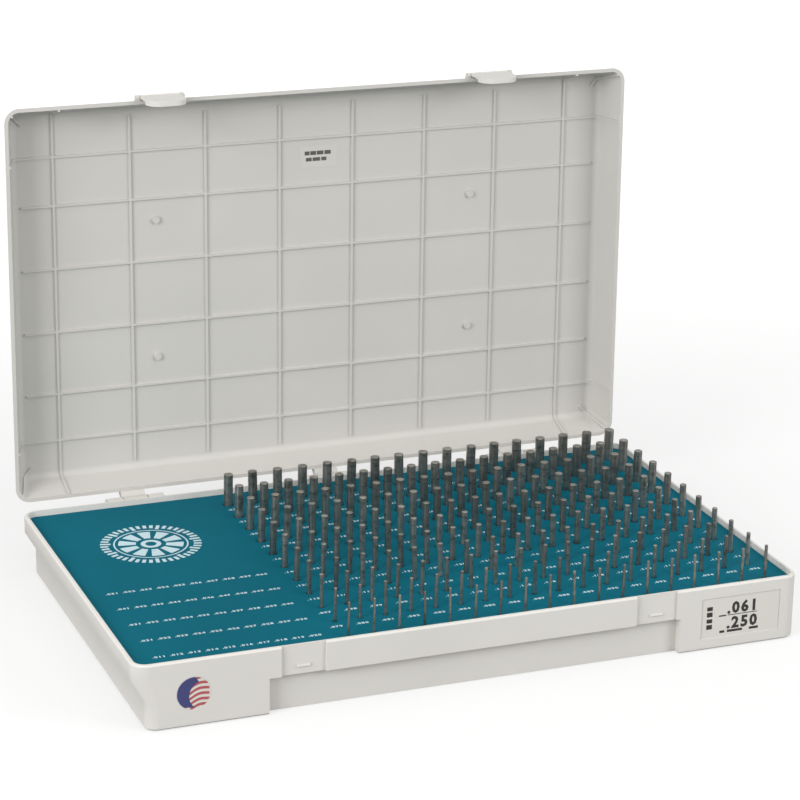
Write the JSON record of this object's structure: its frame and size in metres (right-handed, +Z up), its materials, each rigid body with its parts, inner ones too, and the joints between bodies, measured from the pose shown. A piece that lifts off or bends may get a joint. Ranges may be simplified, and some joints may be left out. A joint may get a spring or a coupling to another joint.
{
  "type": "pin gauge set",
  "caption": "Cased set of steel pin gauges standing in a printed panel, in a shallow moulded tray with a hinged lid held open and two latches.",
  "frame": {"origin": "centre of the tray's flat underside", "axes": "+Z up, +Y towards the hinges, +X to the right as seen from the latch side"},
  "size_m": [0.423, 0.2966, 0.3029],
  "materials": {
    "case": "fine moulded texture",
    "panel": "printed, satin",
    "board": "plain",
    "steel": "ground and lapped, lightly oiled",
    "pin_steel": "drawn wire"
  },
  "bodies": {
    "base": {"base_tray": "case", "gauge_panel": "panel", "support_board": "board", "pins_061_078": "steel", "pins_079_096": "steel", "pins_097_114": "steel", "pins_115_131": "steel", "pins_132_148": "steel", "pins_149_165": "steel", "pins_166_182": "steel", "pins_183_199": "steel", "pins_200_216": "steel", "pins_217_233": "steel", "pins_234_250": "steel", "hinge_pin_left": "pin_steel", "hinge_pin_middle": "pin_steel", "hinge_pin_right": "pin_steel"},
    "lid": {"lid": "case"},
    "latch_left": {"latch_left": "case"},
    "latch_right": {"latch_right": "case"}
  },
  "joints": [
    {"name": "lid_hinge", "type": "hinge", "parent": "base", "child": "lid", "pos_m": [0, 0.1358, 0.0355], "axis": [1, 0, 0], "range_deg": [0, 90.5]},
    {"name": "latch_left_pivot", "type": "hinge", "parent": "lid", "child": "latch_left", "pos_m": [-0.11, 0.14892, 0.301], "axis": [-1, 0, 0], "range_deg": [0, 110]},
    {"name": "latch_right_pivot", "type": "hinge", "parent": "lid", "child": "latch_right", "pos_m": [0.115, 0.14892, 0.301], "axis": [-1, 0, 0], "range_deg": [0, 110]}
  ]
}
